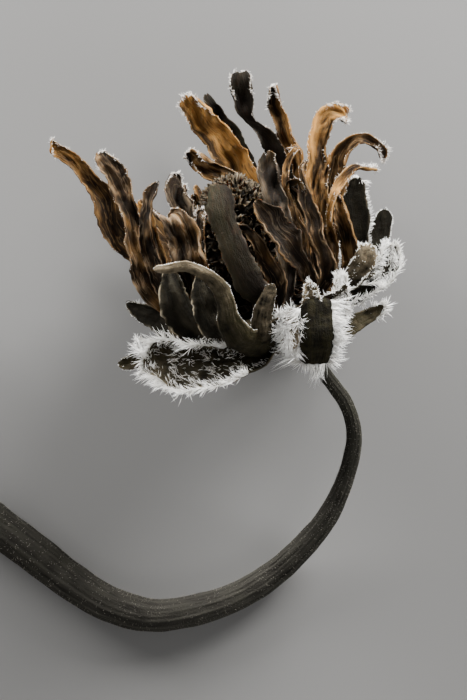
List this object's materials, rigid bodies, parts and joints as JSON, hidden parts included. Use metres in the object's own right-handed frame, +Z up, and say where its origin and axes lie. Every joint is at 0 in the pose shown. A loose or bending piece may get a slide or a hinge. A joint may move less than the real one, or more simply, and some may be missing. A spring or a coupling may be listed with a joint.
{
  "type": "dried sunflower",
  "caption": "Dried sunflower head lying on its side, with shrivelled twisted ray florets, a dark disc and bristly curled bracts on a thin hooked stem that thickens to its cut end.",
  "frame": {"origin": "centre of the footprint, on the surface that the flower lies on", "axes": "+Z up from the surface, +Y the way the flower points as it lies, +X to its right seen from above"},
  "size_m": [0.1221, 0.1453, 0.0619],
  "materials": {
    "dried_stem": "matte dry stalk with fine ridges and short pale hairs",
    "dried_bract": "matte dark olive dried bract with white bristly hairs",
    "dried_petal": "thin dried petal, brown to amber, faint satin sheen",
    "dried_floret": "matte dark brown dried florets"
  },
  "bodies": {
    "root": {"stem": "dried_stem", "involucre": "dried_bract", "ray_florets": "dried_petal", "disc_florets": "dried_floret"}
  },
  "joints": []
}
